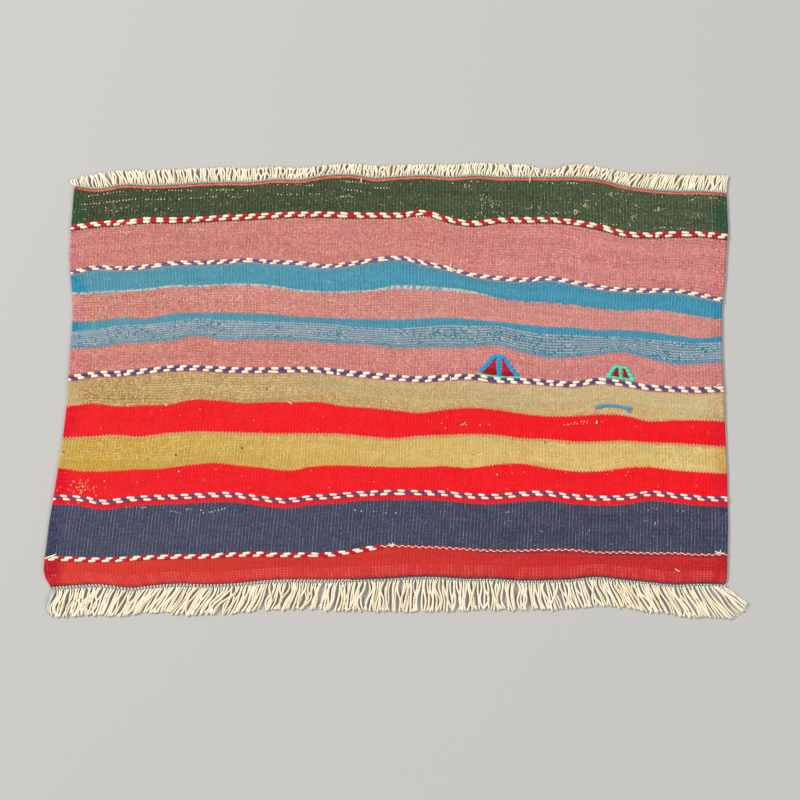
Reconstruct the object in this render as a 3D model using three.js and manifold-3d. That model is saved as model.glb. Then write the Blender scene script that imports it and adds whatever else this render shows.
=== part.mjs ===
// A flat-woven striped kilim mat, lying face up. Lengths are in millimetres. The origin is on the
// floor under the middle of the woven cloth, +X runs along the weft, +Y along the warp and +Z up.
import * as THREE from 'three';
import { mergeVertices } from 'three/addons/utils/BufferGeometryUtils.js';
import Module from 'manifold-3d';

const wasm = await Module();
wasm.setup();

// The cloth
const CLOTH_THICKNESS = 3;
const SWELL = 0.25;
const SWELL_LENGTH = 130;
const SECTION_STEPS = 3;
const STRIPE_ROWS = 2;

// The bands of two-colour weft twining
const TWINE_HALF_HEIGHT = 3.1;
const TWINE_RISE = 0.9;
const TWINE_GROOVE = 0.35;

// The brocaded trapezoids
const MOTIF_RISE = 0.8;
const MOTIF_ROOT = 1.1;

// The twined end finish and the warp fringe
const PIECE_GAP = 0.3;
const FINISH_THICKNESS = 2.4;
const FAR_FINISH_WIDTH = 2.4;
const NEAR_FINISH_WIDTH = 3.4;
const LOCKS_PER_END = 121;
const LOCK_WIDTH = 4;
const LOCK_HEIGHT = 1.9;
const LOCK_ROOT_DEPTH = 1.4;
const LOCK_ROOT_RISE = 0.5;
const LOCK_BENDS = [0.3, 0.68];
const LOCK_LENGTH_SPREAD = 0.09;
const LOCK_TIP_SPREAD = 0.9;

// The darning yarn
const YARN_DIAMETER = 1.9;
const YARN_SIDES = 8;
const YARN_STEPS = 14;

// Sections across the cloth, evenly spaced from the left selvedge to the right one. Each gives how far
// its two woven edges and the middles of its twined bands lie from the middle of the rug.
const SECTIONS = [
  { far: 241, red1: 193, plum1: 135, plum2: 10, plum3: -137, red2: -212, near: -247 },
  { far: 243, red1: 198, plum1: 141, plum2: 12, plum3: -143, red2: -213, near: -243 },
  { far: 243, red1: 200, plum1: 149, plum2: 19, plum3: -138, red2: -211, near: -243 },
  { far: 245, red1: 203, plum1: 151, plum2: 19, plum3: -134, red2: -210, near: -243 },
  { far: 249, red1: 207, plum1: 151, plum2: 19, plum3: -138, red2: -207, near: -237 },
  { far: 254, red1: 208, plum1: 147, plum2: 17, plum3: -137, red2: -207, near: -237 },
  { far: 251, red1: 206, plum1: 152, plum2: 12, plum3: -132, red2: -202, near: -236 },
  { far: 253, red1: 209, plum1: 150, plum2: 8, plum3: -131, red2: -199, near: -234 },
  { far: 254, red1: 198, plum1: 133, plum2: 10, plum3: -134, red2: -200, near: -235 },
  { far: 252, red1: 201, plum1: 128, plum2: 5, plum3: -132, red2: -203, near: -237 },
  { far: 252, red1: 199, plum1: 124, plum2: 1, plum3: -136, red2: -202, near: -236 },
  { far: 241, red1: 185, plum1: 116, plum2: 2, plum3: -136, red2: -205, near: -235 },
  { far: 235, red1: 185, plum1: 115, plum2: -4, plum3: -135, red2: -206, near: -241 },
  { far: 233, red1: 183, plum1: 104, plum2: -5, plum3: -136, red2: -208, near: -243 },
];

// The fringe at the same sections: how long it is from the cloth's edge, and how far it leans to the
// right for each millimetre of its length.
const FRINGES = [
  { farLength: 9, farLean: -0.5, nearLength: 27, nearLean: -0.2 },
  { farLength: 17, farLean: -0.3, nearLength: 36, nearLean: -0.4 },
  { farLength: 20, farLean: -0.15, nearLength: 33, nearLean: -0.7 },
  { farLength: 19, farLean: 0, nearLength: 36, nearLean: -0.6 },
  { farLength: 16, farLean: 0.05, nearLength: 37, nearLean: -0.4 },
  { farLength: 13, farLean: 0.25, nearLength: 36, nearLean: -0.3 },
  { farLength: 16, farLean: 0.1, nearLength: 39, nearLean: -0.2 },
  { farLength: 15, farLean: 0.25, nearLength: 43, nearLean: -0.05 },
  { farLength: 17, farLean: 0.2, nearLength: 40, nearLean: 0 },
  { farLength: 17, farLean: 0.15, nearLength: 36, nearLean: 0.1 },
  { farLength: 16, farLean: 0.4, nearLength: 36, nearLean: 0.35 },
  { farLength: 20, farLean: 0.45, nearLength: 37, nearLean: 0.5 },
  { farLength: 21, farLean: 0.3, nearLength: 38, nearLean: 0.55 },
  { farLength: 23, farLean: 0.1, nearLength: 40, nearLean: 0.75 },
];

// The two selvedges: where they lie at each height up the rug.
const SELVEDGES = [
  { height: -249, left: -422, right: 398 },
  { height: -236, left: -430, right: 401 },
  { height: -224, left: -432.5, right: 401.5 },
  { height: -171, left: -426, right: 402.5 },
  { height: -104, left: -415, right: 401.5 },
  { height: -65, left: -409, right: 399.5 },
  { height: -24, left: -404, right: 398 },
  { height: 43, left: -400, right: 395 },
  { height: 93, left: -396, right: 395 },
  { height: 128, left: -399, right: 399 },
  { height: 155, left: -401, right: 400 },
  { height: 190, left: -399, right: 402.5 },
  { height: 242, left: -395, right: 400 },
  { height: 256, left: -394, right: 400 },
];

// The brocaded trapezoids stand on the plum band that crosses the middle of the rug.
const MOTIFS = [
  { middle: 122, foot: 14, base: 51, top: 17, height: 24, steps: 4 },
  { middle: 271, foot: 9, base: 33, top: 17, height: 16, steps: 2 },
];

// The darning yarn's way over the beige stripe
const YARN_ROUTE = [
  { x: 240.5, y: -28.5 },
  { x: 249, y: -25.5 },
  { x: 258, y: -25 },
  { x: 267, y: -25.7 },
  { x: 276, y: -28 },
  { x: 282, y: -28.6 },
];

const COLUMNS = (SECTIONS.length - 1) * SECTION_STEPS;

const STRIPED_WOOL = new THREE.MeshStandardMaterial({ color: 0xb9453f, roughness: 0.95, metalness: 0 });
const FRINGE_COTTON = new THREE.MeshStandardMaterial({ color: 0xccb99c, roughness: 0.95, metalness: 0 });
const BLUE_YARN = new THREE.MeshStandardMaterial({ color: 0x2f7d9b, roughness: 0.95, metalness: 0 });

// A smooth line through one column of a table of sections, from u = 0 at the left to u = 1 at the right
function along(table, column) {
  const line = new THREE.SplineCurve(table.map((section, i) => new THREE.Vector2(i, section[column])));
  return (u) => line.getPoint(THREE.MathUtils.clamp(u, 0, 1)).y;
}

// A selvedge's place at a height up the rug
function selvedge(side, height) {
  const above = SELVEDGES.findIndex((row) => row.height >= height);
  const upper = SELVEDGES[above < 0 ? SELVEDGES.length - 1 : Math.max(above, 1)];
  const lower = SELVEDGES[SELVEDGES.indexOf(upper) - 1];
  const share = (height - lower.height) / (upper.height - lower.height);
  return THREE.MathUtils.lerp(lower[side], upper[side], share);
}

// The point at share u of the way from the left selvedge to the right one
function across(u, height) {
  return THREE.MathUtils.lerp(selvedge('left', height), selvedge('right', height), u);
}

// A small even scatter from -1 to 1 that gives each lock its own length and lie
function scatter(i, kind) {
  const wave = Math.sin(i * 12.9898 + kind * 78.233) * 43758.5453;
  return 2 * (wave - Math.floor(wave)) - 1;
}

// A box of so many columns and rows whose corners a function puts in their places: u runs from 0 to 1
// along its columns, row counts its rows, and top says whether a corner is on the upper face.
function shapedBox(columns, rows, place) {
  const box = new THREE.BoxGeometry(1, 1, 1, columns, rows, 1);
  const corners = box.attributes.position;
  for (let i = 0; i < corners.count; i += 1) {
    const u = corners.getX(i) + 0.5;
    const row = Math.round((corners.getY(i) + 0.5) * rows);
    corners.setXYZ(i, ...place(u, row, corners.getZ(i) > 0));
  }
  return box;
}

// A closed geometry as a solid that can be joined to others
function solid(geometry) {
  const bare = geometry.clone();
  bare.deleteAttribute('normal');
  bare.deleteAttribute('uv');
  const closed = mergeVertices(bare, 1e-4);
  return new wasm.Manifold(new wasm.Mesh({
    numProp: 3,
    vertProperties: Float32Array.from(closed.attributes.position.array),
    triVerts: Uint32Array.from(closed.index.array),
  }));
}

// A joined solid as a geometry again
function asGeometry(joined) {
  const mesh = joined.getMesh();
  const geometry = new THREE.BufferGeometry();
  geometry.setAttribute('position', new THREE.BufferAttribute(Float32Array.from(mesh.vertProperties), 3));
  geometry.setIndex(new THREE.BufferAttribute(Uint32Array.from(mesh.triVerts), 1));
  geometry.computeVertexNormals();
  return geometry;
}

// The rows of corners across the cloth, from the near edge to the far one: plain ones spread over each
// group of stripes, and five at each twined band, which make its two raised rows with a groove between.
function clothRows() {
  const bands = ['red2', 'plum3', 'plum2', 'plum1', 'red1'].map((name) => along(SECTIONS, name));
  const far = along(SECTIONS, 'far');
  const rows = [{ at: along(SECTIONS, 'near'), rise: 0 }];
  let lower = rows[0].at;
  const addStripes = (from, to) => {
    for (let i = 1; i <= STRIPE_ROWS; i += 1) {
      const share = i / (STRIPE_ROWS + 1);
      rows.push({ at: (u) => THREE.MathUtils.lerp(from(u), to(u), share), rise: 0 });
    }
  };
  for (const band of bands) {
    const foot = (u) => band(u) - TWINE_HALF_HEIGHT;
    addStripes(lower, foot);
    [0, TWINE_RISE, TWINE_GROOVE, TWINE_RISE, 0].forEach((rise, i) => {
      rows.push({ at: (u) => band(u) + (i / 2 - 1) * TWINE_HALF_HEIGHT, rise });
    });
    lower = (u) => band(u) + TWINE_HALF_HEIGHT;
  }
  addStripes(lower, far);
  rows.push({ at: far, rise: 0 });
  return rows;
}

// The cloth lies flat on its underside, and swells a little between its twined bands on its upper side.
function clothGeometry() {
  const rows = clothRows();
  return shapedBox(COLUMNS, rows.length - 1, (u, row, top) => {
    const y = rows[row].at(u);
    const x = across(u, y);
    const swell = SWELL * Math.sin(x / SWELL_LENGTH * Math.PI + y / SWELL_LENGTH);
    return [x, y, top ? CLOTH_THICKNESS + swell + rows[row].rise : 0];
  });
}

// A trapezoid with stepped sides, woven in with extra weft that stands a little above the ground.
function motifGeometry({ middle, foot, base, top, height, steps }) {
  const inset = (base - top) / 2 / steps;
  const outline = [];
  for (let i = 0; i <= steps; i += 1) {
    const half = base / 2 - i * inset;
    outline.push([half, i * height / (steps + 1)], [half, (i + 1) * height / (steps + 1)]);
  }
  const mirrored = outline.map(([x, y]) => [-x, y]).reverse();
  const points = [...outline, ...mirrored].map(([x, y]) => new THREE.Vector2(middle + x, foot + y));
  const depth = MOTIF_ROOT + MOTIF_RISE;
  const motif = new THREE.ExtrudeGeometry(new THREE.Shape(points), { depth, bevelEnabled: false });
  motif.translate(0, 0, CLOTH_THICKNESS - MOTIF_ROOT);
  return motif;
}

// The strip of twining that ends the cloth. It lies just off the cloth's own edge.
function finishGeometry({ edge, outward, width }) {
  return shapedBox(COLUMNS, 1, (u, row, top) => {
    const outer = (row === 1) === (outward > 0);
    const y = edge(u) + outward * (outer ? PIECE_GAP + width : PIECE_GAP);
    return [across(u, y), y, top ? FINISH_THICKNESS : 0];
  });
}

// One lock of warp yarns: three-sided, rooted in the strip, then level on the floor to its tip.
function lockGeometry(i, { edge, outward, width, length, lean }) {
  const u = (i + 0.5) / LOCKS_PER_END;
  const rootY = edge(u) + outward * (PIECE_GAP + width);
  const rootX = across(u, rootY);
  const reach = length(u) * (1 + LOCK_LENGTH_SPREAD * scatter(i, outward)) - width;
  const sway = lean(u) * reach + LOCK_TIP_SPREAD * scatter(i, outward + 2);
  const shares = [-LOCK_ROOT_DEPTH / reach, ...LOCK_BENDS, 1];
  const lock = new THREE.CylinderGeometry(1, 1, 1, 3, shares.length - 1);
  const corners = lock.attributes.position;
  const ridge = new THREE.Vector2(0, 1);
  const foot = new THREE.Vector2(Math.sin(Math.PI * 2 / 3), -0.5);
  for (let corner = 0; corner < corners.count; corner += 1) {
    const ring = Math.round((corners.getY(corner) + 0.5) * (shares.length - 1));
    const side = corners.getX(corner) / foot.x * LOCK_WIDTH / 2;
    const up = (corners.getZ(corner) - foot.y) / (ridge.y - foot.y) * LOCK_HEIGHT;
    const bend = sway * Math.max(shares[ring], 0);
    const rise = ring === 0 ? LOCK_ROOT_RISE : 0;
    corners.setXYZ(corner, rootX + bend + outward * side, rootY + outward * shares[ring] * reach, rise + up);
  }
  return lock;
}

// The end finish with its locks fused into it as one solid
function fringeGeometry(end) {
  let fringe = solid(finishGeometry(end));
  for (let i = 0; i < LOCKS_PER_END; i += 1) {
    fringe = fringe.add(solid(lockGeometry(i, end)));
  }
  return asGeometry(fringe);
}

// The darning yarn, a round yarn laid along its route just above the cloth
function yarnGeometry() {
  const lie = CLOTH_THICKNESS + SWELL + PIECE_GAP + YARN_DIAMETER / 2;
  const route = new THREE.CatmullRomCurve3(YARN_ROUTE.map(({ x, y }) => new THREE.Vector3(x, y, lie)));
  const section = new THREE.Shape();
  section.absarc(0, 0, YARN_DIAMETER / 2, 0, Math.PI * 2);
  return new THREE.ExtrudeGeometry(section, {
    steps: YARN_STEPS,
    curveSegments: YARN_SIDES / 2,
    extrudePath: route,
    bevelEnabled: false,
  });
}

const kilim = new THREE.Group();

function addPiece(name, geometry, material) {
  const piece = new THREE.Mesh(geometry, material);
  piece.name = name;
  kilim.add(piece);
}

const cloth = MOTIFS.map(motifGeometry).reduce(
  (joined, motif) => joined.add(solid(motif)),
  solid(clothGeometry()),
);
addPiece('kilim_field', asGeometry(cloth), STRIPED_WOOL);
addPiece('fringe_far', fringeGeometry({
  edge: along(SECTIONS, 'far'),
  outward: 1,
  width: FAR_FINISH_WIDTH,
  length: along(FRINGES, 'farLength'),
  lean: along(FRINGES, 'farLean'),
}), FRINGE_COTTON);
addPiece('fringe_near', fringeGeometry({
  edge: along(SECTIONS, 'near'),
  outward: -1,
  width: NEAR_FINISH_WIDTH,
  length: along(FRINGES, 'nearLength'),
  lean: along(FRINGES, 'nearLean'),
}), FRINGE_COTTON);
addPiece('blue_darning_yarn', yarnGeometry(), BLUE_YARN);

export default kilim;
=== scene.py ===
import math
import random
from functools import partial

import bmesh
import bpy
import numpy as np
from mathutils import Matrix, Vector


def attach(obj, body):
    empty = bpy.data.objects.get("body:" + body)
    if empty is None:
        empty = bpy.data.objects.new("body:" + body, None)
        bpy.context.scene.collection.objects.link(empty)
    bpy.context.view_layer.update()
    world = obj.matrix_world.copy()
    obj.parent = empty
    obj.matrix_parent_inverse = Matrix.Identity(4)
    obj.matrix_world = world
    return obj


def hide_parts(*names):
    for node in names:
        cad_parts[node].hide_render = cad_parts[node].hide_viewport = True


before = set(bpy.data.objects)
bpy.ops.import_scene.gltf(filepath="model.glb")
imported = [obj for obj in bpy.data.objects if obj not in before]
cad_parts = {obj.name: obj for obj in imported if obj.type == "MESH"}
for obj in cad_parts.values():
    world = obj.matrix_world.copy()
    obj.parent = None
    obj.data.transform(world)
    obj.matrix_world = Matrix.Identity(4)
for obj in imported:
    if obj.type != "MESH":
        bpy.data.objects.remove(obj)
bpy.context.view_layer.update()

# The woven cloth
# One piece of weft-faced plain weave: dyed wool weft beaten down over some four hundred cotton warps,
# two to a rib. Each change of wool shows as a row of small teeth, one to a rib, and wedges of extra
# picks let the stripes wander. It is woven in one and lies loose on the floor, held by nothing.
MM = 0.001
RIBS = 200
STEPS_PER_RIB = 4
CLOTH_TOP = 2.7
CLOTH_UNDER = 0.2
HIGH_WARP = 0.55
LOW_WARP = 0.3
WARP_FURROW = -0.05
PICK_PAIR = 1.45
SIDE_ROUND = 1.8
END_ROUND = 0.7
EDGE_TOP = 0.9
END_TOP = 1.9
UNDER_SHARE = 0.9985
PUCKER = 0.35
LINE_WAVER = 0.3
WARP_WAVER = 0.55
SELVEDGE_ROLL = 0.35
ROLL_INWARD = 3.2
ROLL_WIDTH = 2.2
THIN_FROM = 0.46
THIN_TO = 0.5

# Sections across the cloth, evenly spaced from the left selvedge to the right one: the height up the
# rug of each woven line there, in millimetres from the middle.
LINES = (
    "far", "red_far", "plum_far", "blue_far_low", "blue_near_top", "marl_top", "marl_low",
    "plum_mid", "beige_low", "yellow_top", "yellow_low", "plum_near", "red_near", "near",
)
SECTIONS = (
    (241, 192, 137, 110, 77, 65, 45, 8, -26, -64, -101, -137, -211, -246),
    (238, 196, 143, 111, 78, 68, 46, 13, -23, -63, -105, -138, -212, -244),
    (243, 198, 142, 113, 82, 73, 50, 14, -26, -61, -105, -143, -213, -243),
    (242, 201, 144, 115, 81, 74, 52, 17, -25, -63, -103, -139, -212, -247),
    (243, 201, 148, 119, 87, 77, 54, 20, -24, -59, -102, -137, -210, -244),
    (245, 202, 149, 119, 88, 81, 60, 21, -18, -57, -98, -136, -209, -242),
    (246, 204, 150, 121, 88, 79, 55, 19, -19, -57, -95, -134, -209, -243),
    (246, 205, 152, 121, 87, 78, 55, 18, -22, -58, -98, -134, -207, -242),
    (249, 207, 150, 119, 86, 77, 55, 18, -21, -59, -101, -138, -206, -239),
    (249, 208, 149, 114, 83, 76, 54, 19, -21, -59, -104, -141, -207, -237),
    (254, 208, 145, 112, 82, 75, 52, 18, -21, -59, -99, -137, -207, -237),
    (255, 207, 147, 112, 81, 72, 50, 15, -26, -60, -98, -135, -206, -237),
    (251, 207, 152, 114, 80, 70, 49, 12, -28, -63, -99, -132, -201, -236),
    (253, 207, 155, 117, 80, 69, 45, 9, -31, -65, -100, -131, -196, -235),
    (254, 210, 149, 116, 81, 71, 46, 7, -34, -62, -100, -131, -197, -233),
    (252, 201, 142, 114, 82, 73, 46, 9, -30, -61, -99, -132, -198, -233),
    (254, 197, 134, 111, 80, 72, 46, 10, -28, -60, -101, -135, -200, -235),
    (252, 201, 130, 105, 77, 72, 48, 6, -30, -61, -97, -136, -202, -235),
    (252, 201, 128, 101, 74, 66, 40, 5, -35, -65, -96, -133, -202, -237),
    (252, 201, 130, 100, 71, 62, 34, 3, -38, -66, -101, -132, -201, -237),
    (252, 198, 125, 97, 70, 61, 34, 1, -38, -69, -105, -136, -201, -236),
    (249, 192, 119, 93, 67, 59, 37, 5, -36, -69, -105, -138, -204, -233),
    (241, 184, 116, 90, 67, 59, 40, 2, -37, -68, -101, -137, -204, -236),
    (237, 183, 115, 91, 65, 56, 33, -3, -44, -70, -100, -132, -205, -239),
    (235, 184, 115, 89, 61, 53, 26, -5, -43, -71, -104, -135, -205, -242),
    (235, 184, 110, 83, 57, 51, 26, -6, -43, -73, -106, -138, -207, -241),
    (233, 181, 104, 80, 59, 52, 28, -5, -44, -75, -108, -139, -206, -242),
)

# Height up the rug, and where the left and the right selvedge lie there
SELVEDGES = (
    (-249, -422, 398), (-236, -430, 401), (-224, -432.5, 401.5), (-171, -426, 402.5),
    (-104, -415, 401.5), (-65, -409, 399.5), (-24, -404, 398), (43, -400, 395), (93, -396, 395),
    (128, -399, 399), (155, -401, 400), (190, -399, 402.5), (242, -395, 400), (256, -394, 400),
)


def smooth(a, b, c, d, t):
    """A smooth way from b to c, at the share t of it, that comes from a and goes on to d."""
    turn = (2 * a - 5 * b + 4 * c - d) * t**2 + (3 * b - a - 3 * c + d) * t**3
    return b + ((c - a) * t + turn) / 2


def line(name, u):
    """The height up the rug of a woven line, at the share u of the way across."""
    heights = np.array([section[LINES.index(name)] for section in SECTIONS], float)
    last = len(heights) - 1
    place = np.clip(np.asarray(u, float), 0, 1) * last
    at = np.minimum(place.astype(int), last - 1)
    return smooth(*(heights[np.clip(at + step, 0, last)] for step in (-1, 0, 1, 2)), place - at)


def across(u, height):
    """The place across the rug, at the share u from the left selvedge to the right one."""
    up, left, right = np.array(SELVEDGES, float).T
    lefts = np.interp(height, up, left)
    return lefts + (np.interp(height, up, right) - lefts) * u


def ripple(x, y, kind):
    """A gentle unevenness from about -1 to 1 that never repeats over the rug."""
    return (
        np.sin(x / 41 + 1.7 * kind + np.sin(y / 67 + kind))
        + np.sin(y / 53 + 0.9 * kind + 1.3 * np.sin(x / 89 + 2 * kind))
        + np.sin((x + y) / 29 + 2.3 * kind)
    ) / 3


def narrowing(u, wide=2.6, thin=1.6):
    """How far the lowest band's ground reaches: wide on the left, thin on the right."""
    share = np.clip((u - THIN_FROM) / (THIN_TO - THIN_FROM), 0, 1)
    return wide + (thin - wide) * share


def marl_reach(u):
    """How tall the line of pale marl under the upper blue stripe is: tallest in the middle."""
    return np.interp(u, (0, 0.46, 0.5, 0.59, 0.66), (2.8, 2.4, 5, 4.4, 0.9))


# The stripes from the near end to the far one: the wool, the line where it starts, how far past that
# line, the rows of the mesh in it, and the height of the teeth where it meets the wool before it.
STRIPES = (
    ("crimson_low", "near", 0, 3, 0),
    ("crimson", "near", 15, 3, 0),
    ("red_ground", "red_near", lambda u: -narrowing(u), 1, 0),
    ("navy", "red_near", narrowing, 11, 0),
    ("scarlet", "plum_near", -8.8, 1, 1.3),
    ("scarlet_ground", "plum_near", -2.9, 1, 0),
    ("scarlet", "plum_near", 2.9, 5, 0),
    ("gold", "yellow_low", 0, 2, 1.3),
    ("yellow", "yellow_low", lambda u: 10 + 3 * np.sin(23 * u), 5, 0.6),
    ("dun", "yellow_top", -3.4, 1, 0.5),
    ("scarlet", "yellow_top", 0, 6, 1.3),
    ("beige", "beige_low", 0, 2, 1.3),
    ("straw", "beige_low", lambda u: 9 + 4 * np.sin(17 * u), 4, 0.9),
    ("rose", "plum_mid", -5.2, 1, 0.8),
    ("plum_ground", "plum_mid", -2.9, 1, 0),
    ("rose", "plum_mid", 2.9, 6, 0),
    ("blue", "marl_low", 0, 1, 1.3),
    ("marl", "marl_low", 2.4, 4, 0.9),
    ("blue", "marl_top", 0, 2, 0.9),
    ("pale_rose", "blue_near_top", 0, 5, 1.3),
    ("pale_marl", "blue_far_low", 0, 1, 1.1),
    ("blue", "blue_far_low", marl_reach, 4, 0.6),
    ("rose", "plum_far", -3.6, 1, 0.7),
    ("plum_ground", "plum_far", -2.4, 1, 0),
    ("rose", "plum_far", 2.4, 9, 0),
    ("dark_green", "red_far", -4.6, 1, 0.9),
    ("red_ground", "red_far", -2.8, 1, 0),
    ("green", "red_far", 2.8, 8, 0),
    ("coral", "far", -2.5, 1, 0.9),
)


def cloth_rows(u):
    """Each row of the mesh: its heights up the rug, its place in picks, and the wools of the faces
    beyond it, over the high warps and over the low ones."""
    starts = [line(name, u) + (past(u) if callable(past) else past) for _, name, past, _, _ in STRIPES]
    starts.append(line("far", u))
    teeth = [stripe[4] for stripe in STRIPES] + [0]
    wools = [stripe[0] for stripe in STRIPES]
    rows, pick = [], 0
    for i, (wool, _, _, count, _) in enumerate(STRIPES):
        low, high = starts[i] + teeth[i] / 2, starts[i + 1] - teeth[i + 1] / 2
        high = np.maximum(high, low + 0.1)
        tall = float(np.mean(high - low)) / PICK_PAIR
        for step in range(count):
            rows.append((low + (high - low) * step / count, pick + tall * step / count, wool, wool))
        pick += tall
        if teeth[i + 1]:
            rows.append((high, pick, wool, wools[i + 1]))
            pick += teeth[i + 1] / PICK_PAIR
    rows.append((starts[-1], pick, wools[-1], wools[-1]))
    return rows


def cloth_mesh():
    """The cloth's points, faces, the wool of each face, and each point's place in ribs and picks: a fine
    upper side with its ribs, a plain under side, and a rim that joins them."""
    columns = RIBS * STEPS_PER_RIB
    u = np.arange(columns + 1) / columns
    warp = np.array([WARP_FURROW, HIGH_WARP, WARP_FURROW, LOW_WARP])[np.arange(columns + 1) % 4]
    rows = cloth_rows(u)
    points, weave, faces, wools = [], [], [], []
    for number, (heights, pick, _, _) in enumerate(rows):
        y = heights + LINE_WAVER * ripple(u * 9000, heights * 7, number % 5)
        x = across(u, y) + WARP_WAVER * ripple(u * 2600, y * 2, 6) * np.sin(math.pi * u)
        from_side = np.minimum(u, 1 - u) * (across(1, y) - across(0, y))
        from_end = np.minimum(y - line("near", u), line("far", u) - y).clip(0)
        roll = SELVEDGE_ROLL * np.exp(-(((from_side - ROLL_INWARD) / ROLL_WIDTH) ** 2))
        z = CLOTH_TOP + warp + PUCKER * ripple(x, y, 3) + roll
        for rim, inward in ((END_TOP, from_end / END_ROUND), (EDGE_TOP, from_side / SIDE_ROUND)):
            z = rim + (z - rim) * np.sqrt(1 - (1 - np.clip(inward, 0, 1)) ** 2)
        points += np.stack([x, y, z], axis=1).tolist()
        weave += [(share * RIBS, pick) for share in u]
    wide = columns + 1
    for r, (_, _, high_wool, low_wool) in enumerate(rows[:-1]):
        for c in range(columns):
            corner = r * wide + c
            faces.append((corner, corner + 1, corner + 1 + wide, corner + wide))
            wools.append(high_wool if c % STEPS_PER_RIB < 2 else low_wool)

    # The under side has a row for each stripe and a column for every second rib.
    stripe_rows = [r for r in range(len(rows) - 1) if r == 0 or rows[r - 1][2] != rows[r][2]]
    stripe_rows.append(len(rows) - 1)
    under_columns = range(0, wide, 2 * STEPS_PER_RIB)
    under = {}
    for r in stripe_rows:
        for c in under_columns:
            under[r, c] = len(points)
            x, y, _ = points[r * wide + c]
            points.append([x * UNDER_SHARE, y * UNDER_SHARE, CLOTH_UNDER])
            weave.append(weave[r * wide + c])
    for r, next_r in zip(stripe_rows, stripe_rows[1:]):
        for c, next_c in zip(under_columns, under_columns[1:]):
            faces.append((under[r, c], under[next_r, c], under[next_r, next_c], under[r, next_c]))
            wools.append(rows[r][2])
        for c in (0, columns):
            above = [row * wide + c for row in range(r, next_r + 1)]
            faces.append((*above, under[next_r, c], under[r, c]))
            wools.append(rows[r][2])
    for c, next_c in zip(under_columns, under_columns[1:]):
        for r in (0, len(rows) - 1):
            above = [r * wide + column for column in range(c, next_c + 1)]
            faces.append((*above, under[r, next_c], under[r, c]))
            wools.append(rows[min(r, len(rows) - 2)][2])
    return points, faces, wools, weave


def feed(tree, socket, value):
    """Gives a shader socket a value, or joins it to another socket."""
    if isinstance(value, bpy.types.NodeSocket):
        tree.links.new(value, socket)
    else:
        socket.default_value = value


def node(tree, kind, feeds=(), **settings):
    """A shader node with its settings and what its sockets are fed."""
    made = tree.nodes.new("ShaderNode" + kind)
    for name, value in settings.items():
        setattr(made, name, value)
    for socket, value in dict(feeds).items():
        feed(tree, made.inputs[socket], value)
    return made


def reckon(tree, operation, *values):
    """A sum on shader values."""
    return node(tree, "Math", enumerate(values), operation=operation).outputs[0]


def sums(tree):
    """The sums that a shader needs most: a product, a product and a sum, a sum, and a difference."""
    return [partial(reckon, tree, kind) for kind in ("MULTIPLY", "MULTIPLY_ADD", "ADD", "SUBTRACT")]


def blend(tree, share, first, second):
    """A colour that goes from the first to the second."""
    return node(tree, "Mix", {0: share, 6: first, 7: second}, data_type="RGBA").outputs[2]


def speckle(tree, x, y, detail=2.0):
    """Soft noise from 0 to 1 over two coordinates."""
    place = node(tree, "CombineXYZ", {0: x, 1: y}).outputs[0]
    feeds = {"Vector": place, "Scale": 1.0, "Detail": detail}
    return node(tree, "TexNoise", feeds, noise_dimensions="2D").outputs["Fac"]


def stretch(tree, value, low, high, to_low=0.0, to_high=1.0):
    """Takes the part of a value between two limits to another range, and holds it there."""
    feeds = {0: value, 1: low, 2: high, 3: to_low, 4: to_high}
    return node(tree, "MapRange", feeds, clamp=True).outputs[0]


def shader_group(name, place, colours, values):
    """An empty shader group. It takes a place, some colours and some values, and gives the colour,
    roughness and height there."""
    group = bpy.data.node_groups.new(name, "ShaderNodeTree")
    sockets = [("INPUT", place, "Vector")]
    sockets += [("INPUT", label, "Color") for label in colours]
    sockets += [("INPUT", label, "Float") for label in values]
    sockets += [("OUTPUT", "Color", "Color"), ("OUTPUT", "Roughness", "Float"), ("OUTPUT", "Height", "Float")]
    for direction, label, kind in sockets:
        group.interface.new_socket(label, in_out=direction, socket_type="NodeSocket" + kind)
    return group, group.nodes.new("NodeGroupInput").outputs, group.nodes.new("NodeGroupOutput").inputs


def dye(red, green, blue):
    """A dyer's colour, as it looks in daylight from 0 to 255, as the light that the wool gives back."""
    parts = [(c / 255 / 12.92) if c <= 10 else ((c / 255 + 0.055) / 1.055) ** 2.4 for c in (red, green, blue)]
    return (*parts, 1.0)


WOOL_COLOURS = ("Left Wool", "Right Wool", "Selvedge Wool", "Streak Wool", "Fleck And Highlight Wool")
WOOL_SHARES = (
    "Streak Share", "Fleck Share", "Patchiness", "Alternation", "Abrash", "Heather", "Groove Shade", "Crest Highlight",
)


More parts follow.
